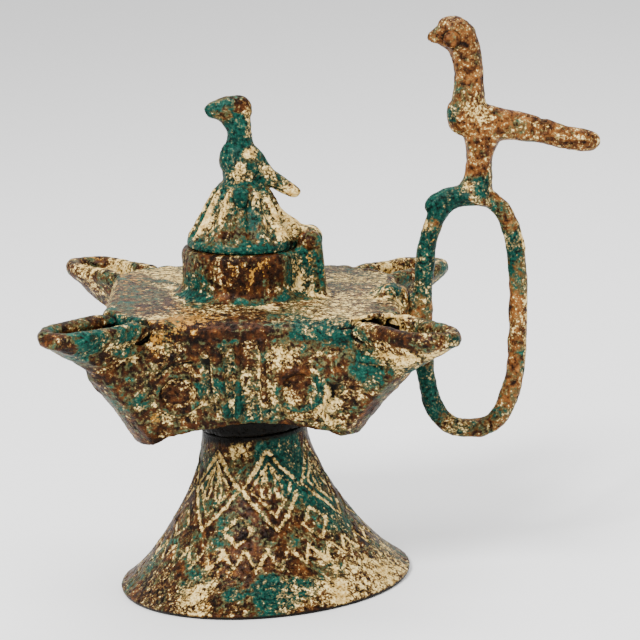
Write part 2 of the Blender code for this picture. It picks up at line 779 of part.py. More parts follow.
def main():
    clear_scene()
    parts = new_collection("oil_lamp")
    tools = new_collection("cutters", hidden=True)
    cast = material("patinated bronze", (0.16, 0.11, 0.07), 0.62, 0.75)
    crust = material("verdigris crust", (0.10, 0.24, 0.19), 0.78, 0.25)
    rubbed = material("rubbed copper alloy", (0.32, 0.17, 0.09), 0.55, 0.85)
    root = add_empty("lamp_frame", parts, None, (0, 0, 0))
    frame = add_empty("body_frame", parts, root, (0, 0, foot_height), (0, body_lean, 0))
    hinge = add_empty("lid_hinge", parts, frame, pin_place())
    made = [
        build_foot(parts, tools, root, cast),
        build_body(parts, tools, frame, cast),
        build_handle(parts, tools, frame, rubbed),
        build_lid(parts, tools, hinge, crust),
        build_pin(parts, frame, rubbed),
    ]
    for obj in made:
        finish_mesh(obj)
    centre_on_ground(root, made)


main()
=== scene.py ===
"""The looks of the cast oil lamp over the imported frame: relief, engraving, patina and crust."""

import math

import bmesh
import bpy
import numpy as np
from mathutils import Matrix, Vector


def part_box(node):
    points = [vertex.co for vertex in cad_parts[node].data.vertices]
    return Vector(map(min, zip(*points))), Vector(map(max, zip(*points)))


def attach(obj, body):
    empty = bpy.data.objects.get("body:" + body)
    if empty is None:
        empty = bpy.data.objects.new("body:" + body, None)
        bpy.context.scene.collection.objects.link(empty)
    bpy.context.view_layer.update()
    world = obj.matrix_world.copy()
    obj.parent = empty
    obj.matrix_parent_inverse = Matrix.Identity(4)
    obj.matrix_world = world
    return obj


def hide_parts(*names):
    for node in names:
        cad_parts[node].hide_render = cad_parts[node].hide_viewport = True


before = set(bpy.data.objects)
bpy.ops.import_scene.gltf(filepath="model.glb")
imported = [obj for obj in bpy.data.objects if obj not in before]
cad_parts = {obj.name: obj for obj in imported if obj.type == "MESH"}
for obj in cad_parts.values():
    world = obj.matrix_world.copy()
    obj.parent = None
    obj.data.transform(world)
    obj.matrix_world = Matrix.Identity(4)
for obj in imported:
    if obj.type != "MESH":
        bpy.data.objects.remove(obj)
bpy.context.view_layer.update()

# The leaning body stands on the foot. Lengths are in metres, and in millimetres where a name ends in _mm.
MM = 0.001
body_lean = math.radians(4.1)
foot_low, foot_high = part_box("foot")
foot_axis = (foot_low.x + foot_high.x) / 2
foot_height = foot_high.z
body_place = Matrix.Translation((foot_axis, 0, foot_height)) @ Matrix.Rotation(body_lean, 4, "Y")

# The foot's bell
rim_radius_mm = (foot_high.x - foot_low.x) / 2 / MM
neck_radius_mm = 15.8
foot_height_mm = foot_height / MM
foot_edge_mm = 1.6
foot_wall_mm = 2.8
foot_roof_mm = 3.5
foot_turns = 600
foot_rows = 112
foot_inner_rows = 12

# The engraving on the foot: angles in degrees about its axis, heights in millimetres
lozenge_top = 43.3
lozenge_side = 33.0
lozenge_low = 21.3
lozenge_front = -77.0
front_pitch = 55.0
lozenge_count = 7
inner_lozenge = 0.66
small_height = 21.8
small_diamond = (10.0, 4.1)
zigzag_count = 28
zigzag_top = 16.7
zigzag_low = 11.8
zigzag_start = -137.2
line_width = 1.5
groove_depth = 0.45

# How each piece is sculpted: voxel in millimetres, most triangles, smoothing rounds, swelling in millimetres
body_skin = (0.55, 192000, 5, 0.05)
lid_skin = (0.30, 90000, 24, 0.10)
handle_skin = (0.30, 110000, 40, 0.15)
hollow_rounds = 24

# The body, its rolled spout rims and its side medallions, in its own frame
spout_reach_mm = 82.4
spout_half_width_mm = 9.6
spout_round_mm = 15.0
spout_rim_mm = 2.1
spout_rim_height_mm = 38.1
roll_radius_mm = 2.55
roll_start_mm = 50.8
medallion_mm = 6.2
medallion_places_mm = ((-21.0, 18.4), (14.2, 19.6))
collar_offset_mm = -3.3
collar_top_mm = 54.8
collar_base_mm = 19.5

# The lid, the hinge and the handle, in the body's frame
lid_ribs = 12
knob_place_mm = (-3.5, -11.0, 71.0)
knob_tip_mm = (-3.5, -10.5, 71.3)
hinge_x_mm = collar_offset_mm + 20.1
hinge_z_mm = collar_top_mm + 2.1
eye_place_mm = (58.4, 5.0, 117.2)

# Noise: cells in a lattice, layers, and how much finer and fainter each layer is than the one before
lattice_size = 48
cloud_layers = 3
layer_step = 2.1
layer_fade = 0.55

# The patina's speckle, in cells per metre
broad_scale = 150.0
film_scale = 240.0
mid_scale = 480.0
grain_scale = 900.0
fine_scale = 1500.0
film_shift = (0.37, 0.21, 0.53)
bump_depth = 0.0005
# The last share is grime together with painted shade.
share_names = ("crust", "verdigris", "ochre", "grime")
pin_share = 0.2

# The camera, as the photograph was solved from the body
view_down = math.radians(11.89)
view_distance = 0.9537
view_aim = (0.0199, 0.0322)
lens_mm = 178.8
sensor_mm = 36.0


def read_points(mesh):
    points = np.empty(len(mesh.vertices) * 3)
    mesh.vertices.foreach_get("co", points)
    return points.reshape(-1, 3)


def write_points(mesh, points):
    mesh.vertices.foreach_set("co", np.ascontiguousarray(points, dtype=np.float32).ravel())
    mesh.update()


def read_normals(mesh):
    normals = np.empty(len(mesh.vertices) * 3)
    mesh.vertices.foreach_get("normal", normals)
    return normals.reshape(-1, 3)


def read_edges(mesh):
    edges = np.empty(len(mesh.edges) * 2, dtype=np.int64)
    mesh.edges.foreach_get("vertices", edges)
    return edges.reshape(-1, 2)


def smoothed(points, edges, rounds, share=0.5):
    """Points drawn towards the middle of their neighbours."""
    count = len(points)
    ends = np.concatenate((edges[:, 0], edges[:, 1]))
    others = np.concatenate((edges[:, 1], edges[:, 0]))
    number = np.maximum(np.bincount(ends, minlength=count), 1)
    points = points.copy()
    for _ in range(rounds):
        middle = np.stack([np.bincount(ends, weights=points[others, axis], minlength=count) / number
                           for axis in range(points.shape[1])], axis=1)
        points += (middle - points) * share
    return points


def noise(points, scale, seed):
    """Smooth noise from 0 to 1 in space."""
    values = np.random.default_rng(seed).random((lattice_size,) * 3)
    cells = points * scale + 1000.0
    low = np.floor(cells).astype(np.int64)
    part = cells - low
    part = part * part * (3 - 2 * part)
    total = np.zeros(len(points))
    for corner in np.ndindex(2, 2, 2):
        weight = np.ones(len(points))
        for axis in range(3):
            weight *= part[:, axis] if corner[axis] else 1 - part[:, axis]
        index = (low + corner) % lattice_size
        total += weight * values[index[:, 0], index[:, 1], index[:, 2]]
    return total


def clouds(points, scale, seed):
    """Layered noise from about 0 to 1."""
    total = np.zeros(len(points))
    weight = 1.0
    whole = 0.0
    for layer in range(cloud_layers):
        total += weight * noise(points, scale * layer_step ** layer, seed + layer)
        whole += weight
        weight *= layer_fade
    return np.clip((total / whole - 0.5) * 1.5 + 0.5, 0, 1)


def ease(value, low, high):
    """0 below low, 1 above high, smooth between."""
    share = np.clip((value - low) / (high - low), 0, 1)
    return share * share * (3 - 2 * share)


def line_distance(across, up, path, across_scale=1.0, up_scale=1.0):
    """How far each place is from a drawn line."""
    best = np.full(np.shape(across), 1e6)
    for (start_x, start_y), (end_x, end_y) in zip(path, path[1:]):
        run_x = (end_x - start_x) * across_scale
        run_y = (end_y - start_y) * up_scale
        from_x = (across - start_x) * across_scale
        from_y = (up - start_y) * up_scale
        share = np.clip((from_x * run_x + from_y * run_y) / (run_x ** 2 + run_y ** 2 + 1e-9), 0, 1)
        best = np.minimum(best, np.hypot(from_x - share * run_x, from_y - share * run_y))
    return best


def ridge(distance, width):
    """A rounded ridge of this whole width round a line."""
    return ease(1 - distance / (width / 2), 0, 1)


def near_run(places, run):
    """How far each place is from a bar's surface, along a run of (x, y, z, radius)."""
    best = np.full(len(places), 1e6)
    for start, end in zip(run, run[1:]):
        start, end = np.array(start), np.array(end)
        along = end[:3] - start[:3]
        share = np.clip((places - start[:3]) @ along / (along @ along + 1e-9), 0, 1)
        nearest = start[:3] + share[:, None] * along
        radius = start[3] + share * (end[3] - start[3])
        best = np.minimum(best, np.linalg.norm(places - nearest, axis=1) - radius)
    return best


def new_object(name, mesh):
    obj = bpy.data.objects.new(name, mesh)
    bpy.context.scene.collection.objects.link(obj)
    return obj


def evaluated(obj):
    bpy.context.view_layer.update()
    return bpy.data.meshes.new_from_object(obj.evaluated_get(bpy.context.evaluated_depsgraph_get()))


def apply_all(obj):
    mesh = evaluated(obj)
    obj.modifiers.clear()
    obj.data = mesh


def body_mm(points):
    """Places in the leaning body's own frame, in millimetres."""
    turn = np.array(body_place.inverted())
    return (points @ turn[:3, :3].T + turn[:3, 3]) / MM


def from_body(points_mm):
    """The other way round, for one place."""
    return body_place @ (Vector(points_mm) * MM)


def bars(name, runs, sides=4):
    """Round bars through places in the body's frame, as one mesh. Each run is a list of (x, y, z, radius)."""
    curve = bpy.data.curves.new(name, "CURVE")
    curve.dimensions = "3D"
    curve.bevel_depth = 1.0
    curve.bevel_resolution = sides
    curve.use_fill_caps = True
    for run in runs:
        spline = curve.splines.new("POLY")
        spline.points.add(len(run) - 1)
        for knot, (x, y, z, radius) in zip(spline.points, run):
            knot.co = (*from_body((x, y, z)), 1)
            knot.radius = radius * MM
    drawn = new_object(name, curve)
    mesh = evaluated(drawn)
    bpy.data.objects.remove(drawn, do_unlink=True)
    return mesh


def curved(knots, steps=6):
    """A smooth run through a few knots of (x, y, z, radius)."""
    knots = np.array(knots, dtype=float)
    padded = np.vstack((2 * knots[0] - knots[1], knots, 2 * knots[-1] - knots[-2]))
    places = []
    for i in range(len(knots) - 1):
        before, start, end, after = padded[i:i + 4]
        for t in np.arange(0, 1, 1 / steps):
            straight = 2 * start + (end - before) * t
            bend = (2 * before - 5 * start + 4 * end - after) * t ** 2
            twist = (3 * start - before - 3 * end + after) * t ** 3
            places.append(0.5 * (straight + bend + twist))
    places.append(knots[-1])
    return [tuple(place) for place in places]


def on_diagonal(quarter, reach, across, height):
    """A place beside one of the four spouts, in the body's frame."""
    angle = math.radians(45 + 90 * quarter)
    return (reach * math.cos(angle) - across * math.sin(angle),
            reach * math.sin(angle) + across * math.cos(angle), height)


def sculpt(node, extras, voxel_mm, most_triangles, rounds, swell_mm):
    """One skin round a solid and what is added to it, fine enough to carve."""
    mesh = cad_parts[node].data.copy()
    work = bmesh.new()
    for part in [mesh] + extras:
        work.from_mesh(part)
    work.to_mesh(mesh)
    work.free()
    obj = new_object(node + "_cast", mesh)
    obj.data.materials.clear()
    skin = obj.modifiers.new("skin", "REMESH")
    skin.mode = "VOXEL"
    skin.voxel_size = voxel_mm * MM
    apply_all(obj)
    points = read_points(obj.data)
    edges = read_edges(obj.data)
    write_points(obj.data, smoothed(points, edges, rounds))
    write_points(obj.data, read_points(obj.data) + read_normals(obj.data) * swell_mm * MM)
    count = sum(len(face.vertices) - 2 for face in obj.data.polygons)
    if count > most_triangles:
        thin = obj.modifiers.new("thin", "DECIMATE")
        thin.ratio = most_triangles / count
        apply_all(obj)
    obj.data.shade_smooth()
    return obj


def surveyed(obj):
    """A skin's points, normals and edges, and its places in the body's frame."""
    points = read_points(obj.data)
    return points, read_normals(obj.data), read_edges(obj.data), body_mm(points)


def carved(obj, points, edges):
    """Moves a skin to its carved points. Gives its normals and how deep each place lies, in millimetres."""
    write_points(obj.data, points)
    normals = read_normals(obj.data)
    deep = np.sum((smoothed(points, edges, hollow_rounds) - points) * normals, axis=1) / MM
    return normals, deep


def from_collar(places):
    """How far each place is from the collar's axis, in millimetres."""
    return np.hypot(places[:, 0] - collar_offset_mm, places[:, 1])


def keep_share(mesh, name, values):
    layer = mesh.attributes.new(name, "FLOAT", "POINT")
    layer.data.foreach_set("value", np.ascontiguousarray(np.clip(values, 0, 1), dtype=np.float32))


def stain(places, spots, warp):
    """Soft-edged patches. Each spot is (x, y, z, radius, amount) in the same millimetres as the places."""
    total = np.zeros(len(places))
    for x, y, z, radius, amount in spots:
        distance = np.linalg.norm(places - (x, y, z), axis=1) / radius + (warp - 0.5) * 0.9
        total += amount * (1 - ease(distance, 0.55, 1.15))
    return total


# Materials


def put(tree, kind, inputs=(), **settings):
    made = tree.nodes.new(kind)
    for name, value in settings.items():
        setattr(made, name, value)
    for key, value in dict(inputs).items():
        if isinstance(value, bpy.types.NodeSocket):
            tree.links.new(value, made.inputs[key])
        else:
            made.inputs[key].default_value = value
    return made


def speckle(tree, place, scale, detail):
    settings = {"Vector": place, "Scale": scale, "Detail": detail, "Roughness": 0.6}
    return put(tree, "ShaderNodeTexNoise", settings).outputs[0]


def sums(tree, operation, first, second):
    return put(tree, "ShaderNodeMath", {0: first, 1: second}, operation=operation).outputs[0]


def added(tree, *terms):
    """The sum of (value, weight) terms."""
    total = 0.0
    for value, weight in terms:
        total = sums(tree, "ADD", sums(tree, "MULTIPLY", value, weight), total)
    return total


def step_between(tree, value, low, high):
    return put(tree, "ShaderNodeMapRange", {"Value": value, "From Min": low, "From Max": high},
               interpolation_type="SMOOTHSTEP").outputs[0]


def ramp(tree, value, colours, low, high):
    made = put(tree, "ShaderNodeValToRGB", {0: value})
    stops = made.color_ramp.elements
    for _ in range(len(colours) - 2):
        stops.new(0.5)
    for i, (stop, colour) in enumerate(zip(stops, colours)):
        stop.position = low + (high - low) * i / (len(colours) - 1)
        stop.color = (*colour, 1)
    return made.outputs[0]


def blend_colour(tree, share, first, second):
    made = put(tree, "ShaderNodeMix", {0: share, 6: first, 7: second}, data_type="RGBA")
    return made.outputs[2]


def blend_value(tree, share, first, second):
    made = put(tree, "ShaderNodeMix", {0: share, 2: first, 3: second}, data_type="FLOAT")
    return made.outputs[0]


def attribute(tree, name):
    return put(tree, "ShaderNodeAttribute", attribute_type="GEOMETRY", attribute_name=name).outputs["Fac"]


# The patina's colours, from the darkest to the lightest of each
brown_tones = ((0.0026, 0.001, 0.0005), (0.014, 0.0045, 0.0013), (0.05, 0.015, 0.0034), (0.15, 0.052, 0.012))
copper_tones = ((0.0080, 0.0026, 0.0009), (0.055, 0.0175, 0.0044), (0.17, 0.062, 0.014), (0.38, 0.18, 0.050))
sage_tones = ((0.016, 0.015, 0.0048), (0.055, 0.053, 0.019), (0.16, 0.15, 0.062))
green_tones = ((0.0003, 0.0048, 0.0034), (0.0006, 0.016, 0.0115), (0.0030, 0.050, 0.035), (0.065, 0.17, 0.11))
tan_tones = ((0.075, 0.032, 0.0080), (0.26, 0.145, 0.042))
crust_tones = ((0.23, 0.120, 0.026), (0.50, 0.33, 0.098), (0.82, 0.64, 0.28))
ochre_tones = ((0.11, 0.034, 0.0034), (0.40, 0.20, 0.030))
# Near-black, for grime and for painted shade in hollows, insides and undersides
grime_tone = (0.0018, 0.0014, 0.0008, 1)


def patina(name, brown=brown_tones, attributes=True):
    """Aged copper alloy. The shares of crust, verdigris, ochre, and grime with painted shade come from the
    mesh.
    """
    made = bpy.data.materials.new(name)
    made.use_nodes = True
    tree = made.node_tree
    shader = tree.nodes["Principled BSDF"]
    place = put(tree, "ShaderNodeTexCoord").outputs["Object"]
    elsewhere = put(tree, "ShaderNodeVectorMath", {0: place, 1: film_shift}, operation="ADD").outputs[0]
    broad = speckle(tree, place, broad_scale, 5.0)
    mid = speckle(tree, place, mid_scale, 4.0)
    fine = speckle(tree, place, fine_scale, 3.0)
    film = speckle(tree, elsewhere, film_scale, 5.0)
    grain = speckle(tree, elsewhere, grain_scale, 4.0)
    share = {key: attribute(tree, key) if attributes else pin_share for key in share_names}
    brown_colour = ramp(tree, added(tree, (broad, 0.4), (mid, 0.6)), brown, 0.36, 0.68)
    sage_colour = ramp(tree, added(tree, (grain, 0.6), (fine, 0.4)), sage_tones, 0.36, 0.66)
    green_colour = ramp(tree, added(tree, (film, 0.3), (grain, 0.45), (fine, 0.25)), green_tones, 0.34, 0.68)
    crust_colour = ramp(tree, added(tree, (mid, 0.5), (fine, 0.5)), crust_tones, 0.38, 0.62)
    ochre_colour = ramp(tree, added(tree, (mid, 0.5), (fine, 0.5)), ochre_tones, 0.38, 0.62)
    greening = added(tree, (share["verdigris"], 1.0), (film, 1.6), (grain, 1.2), (-1.3, 1.0))
    sage_mask = step_between(tree, greening, 0.28, 0.52)
    green_mask = step_between(tree, greening, 0.50, 0.66)
    reddening = added(tree, (share["ochre"], 1.0), (mid, 1.8), (fine, 1.0), (-1.4, 1.0))
    ochre_mask = step_between(tree, reddening, 0.45, 0.62)
    crusting = added(tree, (share["crust"], 1.0), (mid, 1.4), (grain, 0.9), (fine, 1.5), (-1.9, 1.0))
    crust_mask = step_between(tree, crusting, 0.44, 0.66)
    tan_mask = step_between(tree, crusting, 0.22, 0.50)
    tan_colour = ramp(tree, added(tree, (grain, 0.5), (fine, 0.5)), tan_tones, 0.38, 0.62)
    pit_mask = step_between(tree, added(tree, (grain, -0.6), (mid, -0.4)), -0.45, -0.37)
    # Grime and painted shade darken the colour towards near-black.
    grime_mask = step_between(tree, added(tree, (share["grime"], 1.0), (grain, 0.8), (-0.4, 1.0)), 0.22, 0.85)
    colour = blend_colour(tree, sums(tree, "MULTIPLY", sage_mask, 0.8), brown_colour, sage_colour)
    colour = blend_colour(tree, green_mask, colour, green_colour)
    colour = blend_colour(tree, sums(tree, "MULTIPLY", tan_mask, 0.55), colour, tan_colour)
    colour = blend_colour(tree, ochre_mask, colour, ochre_colour)
    colour = blend_colour(tree, crust_mask, colour, crust_colour)
    colour = blend_colour(tree, sums(tree, "MULTIPLY", pit_mask, 0.75), colour, grime_tone)
    colour = blend_colour(tree, grime_mask, colour, grime_tone)
    tree.links.new(colour, shader.inputs["Base Color"])
    rough = blend_value(tree, green_mask, 0.36, 0.40)
    rough = blend_value(tree, crust_mask, rough, 0.80)
    tree.links.new(added(tree, (rough, 0.85), (fine, 0.15)), shader.inputs["Roughness"])
    height = added(tree, (grain, 0.5), (fine, 0.35), (crust_mask, 0.30), (pit_mask, -0.5))
    bump = put(tree, "ShaderNodeBump", {"Height": height, "Strength": 0.7, "Distance": bump_depth})
    tree.links.new(bump.outputs[0], shader.inputs["Normal"])
    shader.inputs["Metallic"].default_value = 0.0
    shader.inputs["Specular IOR Level"].default_value = 0.06
    return made


def dress(obj, body, node, slot, finish, **shares):
    """Puts the patina and its shares on a piece, which then stands for its node."""
    for name, values in shares.items():
        keep_share(obj.data, name, values)
    obj.data.materials.append(finish)
    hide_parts(node)
    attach(obj, body)


# The foot


# Stains on the foot, in millimetres about its axis: (x, y, z, radius, amount)
foot_cream_spots = [
    (31, -28, 4, 15, 0.36), (40, -12, 4, 12, 0.32), (24, -19, 20, 7, 0.15), (18, -34, 4, 8, 0.30),
    (-22, -36, 5, 9, 0.38), (-34, -22, 10, 8, 0.20), (-4, -16, 45, 5, 0.45), (-12, -14, 42, 5, 0.2),
]
foot_teal_spots = [
    (9, -16, 42, 11, 0.55), (16, -14, 32, 10, 0.5), (-14, -18, 33, 9, 0.25), (24, -16, 24, 8, 0.4),
    (2, -39.5, 7.6, 7, 0.9), (10, -38, 7.4, 5, 0.6), (-8, -39.5, 7.8, 5, 0.6), (3, -43, 2.5, 6, 0.5),
    (-10, -40, 6.5, 4, 0.4), (16, -36, 8.5, 5, 0.4),
]
foot_ochre_spots = [
    (-14, -30, 14, 6, 0.35), (26, -33, 6, 8, 0.35), (-20, -38, 4, 7, 0.5), (36, -20, 5, 7, 0.5),
]


def bell_radius_mm(height):
    """The bell's outer radius at a height."""
    drop = np.clip((foot_height_mm - height) / (foot_height_mm - foot_edge_mm), 0, 1)
    return neck_radius_mm + (rim_radius_mm - neck_radius_mm) * (0.93 * drop ** 1.7 + 0.07 * drop ** 14)


def foot_outline():
    """The foot's section, from the neck's middle over the outside to the hollow's middle."""
    fall = 1 - (1 - np.linspace(0, 1, foot_rows)) ** 1.25
    heights = foot_height_mm - (foot_height_mm - foot_edge_mm) * fall
    outer = list(zip(bell_radius_mm(heights), heights))
    edge = [(rim_radius_mm - 0.05, 0.9), (rim_radius_mm - 0.4, 0.25), (rim_radius_mm - 1.2, 0.0),
            (rim_radius_mm - foot_wall_mm, 0.0), (rim_radius_mm - foot_wall_mm - 0.4, 0.5)]
    roof = foot_height_mm - foot_roof_mm
    inner_heights = np.linspace(3.0, roof, foot_inner_rows)
    inner = list(zip(bell_radius_mm(inner_heights) - foot_wall_mm - 0.4, inner_heights))
    return [(0, foot_height_mm), (neck_radius_mm * 0.8, foot_height_mm)] + outer + edge + inner + [(0, roof)]


def lozenge_places():
    """Each lozenge's middle and half widths, with the two front gaps wider than the others."""
    back_pitch = (360 - 2 * front_pitch) / (lozenge_count - 2)
    gaps = [front_pitch] + [back_pitch] * (lozenge_count - 2) + [front_pitch]
    middle = lozenge_front
    places = []
    for i in range(lozenge_count):
        places.append((middle, gaps[i - 1 if i else -1] / 2, gaps[i] / 2))
        middle += gaps[i]
    return places


def diamond(middle, height, left, right, up, down):
    return [(middle, height + up), (middle + right, height), (middle, height - down), (middle - left, height),
            (middle, height + up)]


def teardrop(angle, turn):
    """A closed drop with a curl in it, leaning outwards."""
    shape = [(0.0, 38.2), (5.2, 35.6), (7.6, 32.2), (5.6, 29.4),
             (1.6, 29.8), (0.4, 32.4), (2.4, 34.6), (0.0, 38.2)]
    return [(angle + turn * (2.0 + across), height) for across, height in shape]


def foot_lines(angle, height):
    """How far each place is from the broad lines, the thin ones and the zigzag."""
    radius = bell_radius_mm(height)
    around = radius * math.pi / 180
    slope = np.abs(bell_radius_mm(height - 0.2) - bell_radius_mm(height + 0.2)) / 0.4
    along = np.sqrt(1 + slope ** 2)

    def near(middle, path):
        turned = (angle - middle + 180) % 360 - 180
        moved = [(across - middle, up) for across, up in path]
        return line_distance(turned, height, moved, around, along)

    broad = np.full(len(angle), 1e6)
    thin = np.full(len(angle), 1e6)
    for middle, left, right in lozenge_places():
        up = lozenge_top - lozenge_side
        down = lozenge_side - lozenge_low
        outline = diamond(middle, lozenge_side, left * 0.95, right * 0.95, up, down)
        broad = np.minimum(broad, near(middle, outline))
        size = inner_lozenge
        inner = diamond(middle, lozenge_side, left * size, right * size, up * size, down * size)
        chevron = [(middle - 4, 27.6), (middle, 25.0), (middle + 4, 27.6)]
        for path in (inner, teardrop(middle, -1), teardrop(middle, 1), chevron):
            thin = np.minimum(thin, near(middle, path))
        edge = middle + right
        reach, rise = small_diamond
        broad = np.minimum(broad, near(edge, diamond(edge, small_height, reach, reach, rise, rise)))
    step = 360 / zigzag_count
    zigzag = np.full(len(angle), 1e6)
    for i in range(zigzag_count):
        top = zigzag_start + i * step
        low = zigzag_low - 0.5 * math.sin(i * 2.4)
        path = [(top, zigzag_top), (top + step / 2, low), (top + step, zigzag_top)]
        zigzag = np.minimum(zigzag, near(top + step / 2, path))
    return broad, thin, zigzag


def foot_skin():
    """The bell as a closed mesh, with its points in millimetres about its own axis."""
    outline = np.array(foot_outline())
    turns = np.linspace(0, math.tau, foot_turns, endpoint=False)
    rings = outline[1:-1]
    points = np.stack((np.outer(rings[:, 0], np.cos(turns)), np.outer(rings[:, 0], np.sin(turns)),
                       np.repeat(rings[:, 1:2], foot_turns, axis=1)), axis=2).reshape(-1, 3)
    faces = []
    for row in range(len(rings) - 1):
        start = row * foot_turns
        for i in range(foot_turns):
            j = (i + 1) % foot_turns
            faces.append((start + i, start + foot_turns + i, start + foot_turns + j, start + j))
    top = len(points)
    last = (len(rings) - 1) * foot_turns
    points = np.vstack((points, (0, 0, outline[0, 1]), (0, 0, outline[-1, 1])))
    for i in range(foot_turns):
        j = (i + 1) % foot_turns
        faces.append((top, i, j))
        faces.append((top + 1, last + j, last + i))
    mesh = bpy.data.meshes.new("foot_cast")
    mesh.from_pydata(points * MM, [], faces)
    write_points(mesh, points * MM + (foot_axis, 0, 0))
    return new_object("foot_cast", mesh), points


def build_foot(finish):
    obj, places = foot_skin()
    mesh = obj.data
    height = places[:, 2]
    angle = np.degrees(np.arctan2(places[:, 1], places[:, 0]))
    outer = np.zeros(len(places))
    outer[foot_turns:foot_turns * (1 + foot_rows)] = 1.0
    outer *= ease(foot_height_mm - height, 0.0, 2.0)
    warp = clouds(places, 0.22, 11)
    broad, thin, zigzag = foot_lines(angle + (clouds(places, 0.16, 12) - 0.5) * 2.2,
                                     height + (clouds(places, 0.16, 13) - 0.5) * 1.1)
    worn = 0.55 + 0.45 * ease(clouds(places, 0.09, 14), 0.25, 0.7)
    lines = np.maximum(ridge(broad, line_width * 1.35), ridge(zigzag, line_width * 1.35))
    lines = np.maximum(lines, ridge(thin, line_width * 0.95) * 0.9)
    sides = np.maximum(ridge(np.abs(broad - 1.25), 0.75), ridge(np.abs(thin - 1.0), 0.7) * 0.8) * (1 - lines)
    pits = clouds(places, 0.5, 15)
    depth = -groove_depth * lines * worn + 0.12 * sides + 0.16 * (pits - 0.5) + 0.28 * (warp - 0.5)
    depth -= 0.25 * ease(clouds(places, 0.8, 17), 0.72, 0.95)
    write_points(mesh, read_points(mesh) + read_normals(mesh) * (depth * outer * MM)[:, None])
    mesh.shade_smooth()
    low = ease(18 - height, 0, 12)
    cloud = clouds(places, 0.12, 18)
    crust = 0.14 + 0.62 * lines * (0.55 + 0.45 * ease(cloud, 0.2, 0.6)) + 0.22 * low * ease(cloud, 0.45, 0.8)
    crust += stain(places, foot_cream_spots, warp)
    green = 0.12 + 0.25 * lines + 0.30 * ease(clouds(places, 0.10, 19), 0.5, 0.8)
    green += stain(places, foot_teal_spots, warp)
    # Grime and painted shade: dark lines beside the engraving, painted shadow on the foot's top under the
    # body, more on its left, the bottom edge darkened, and the hollow inside painted dark.
    grime = 0.75 * sides * worn + 0.35 * ease(height, 40, 47) * ease(-places[:, 0], -4, 8)
    rim = ease(foot_edge_mm - height, 0.2, 1.2)
    grime += 0.55 * ease(height, 43.5, 47.6) + 0.75 * rim + (1 - outer) * 0.3
    dress(obj, "lamp", "foot", "foot_metal", finish, crust=crust * (1 - 0.8 * rim) - 0.3 * sides,
          verdigris=green, ochre=stain(places, foot_ochre_spots, warp), grime=grime)


# The body


def spout_rolls():
    """The thick rolled rims of the four spouts. Each ends in a round ear against the body."""
    runs = []
    for quarter in range(4):
        start = spout_reach_mm - spout_round_mm
        tip = spout_reach_mm - roll_radius_mm
        for side in (-1, 1):
            run = []
            for share in np.linspace(0, 1, 19):
                reach = roll_start_mm + (tip - roll_start_mm) * (1 - (1 - share) ** 1.7)
                turned = max(0.0, reach - start) / (tip - start)
                across = (spout_half_width_mm - spout_rim_mm) * math.sqrt(max(0.0, 1 - turned ** 2))
                bulge = 1 + 0.10 * math.exp(-((reach - roll_start_mm - 3) / 4) ** 2)
                radius = roll_radius_mm * bulge * min(1.0, 0.45 + share * 9)
                run.append((*on_diagonal(quarter, reach, side * across, spout_rim_height_mm), radius))
            runs.append(run)
    return runs


def spout_folds():
    """The fold that runs below the rolled rim on the near left spout, and the hull's edge on the others."""
    runs = []
    for quarter, side, low in ((2, 1, 31.6), (2, -1, 31.6), (1, -1, 30.0), (3, -1, 29.0), (0, 1, 29.0)):
        knots = [(*on_diagonal(quarter, 73.0, side * 3.2, low + 2.6), 0.7),
                 (*on_diagonal(quarter, 65.0, side * 6.6, low + 1.6), 1.25),
                 (*on_diagonal(quarter, 57.0, side * 8.6, low + 1.2), 1.35),
                 (*on_diagonal(quarter, 51.0, side * 9.4, low + 2.2), 0.6)]
        runs.append(curved(knots))
    return runs


def lips():
    """The near right gap's raised lip, the web beside it, and the boss between the handle and that spout."""
    lip = curved([(26.5, -42.0, 40.3, 0.6), (31.5, -39.8, 40.7, 1.1), (37.5, -35.6, 40.9, 0.9)])
    web = curved([(38.0, -33.2, 40.6, 0.9), (42.0, -34.6, 40.2, 1.2), (45.5, -38.0, 39.4, 0.9)])
    boss = curved([(36.5, -9.0, 40.6, 1.4), (40.5, -6.0, 41.4, 3.0), (43.5, -3.0, 40.6, 1.6)])
    return [lip, web, boss]


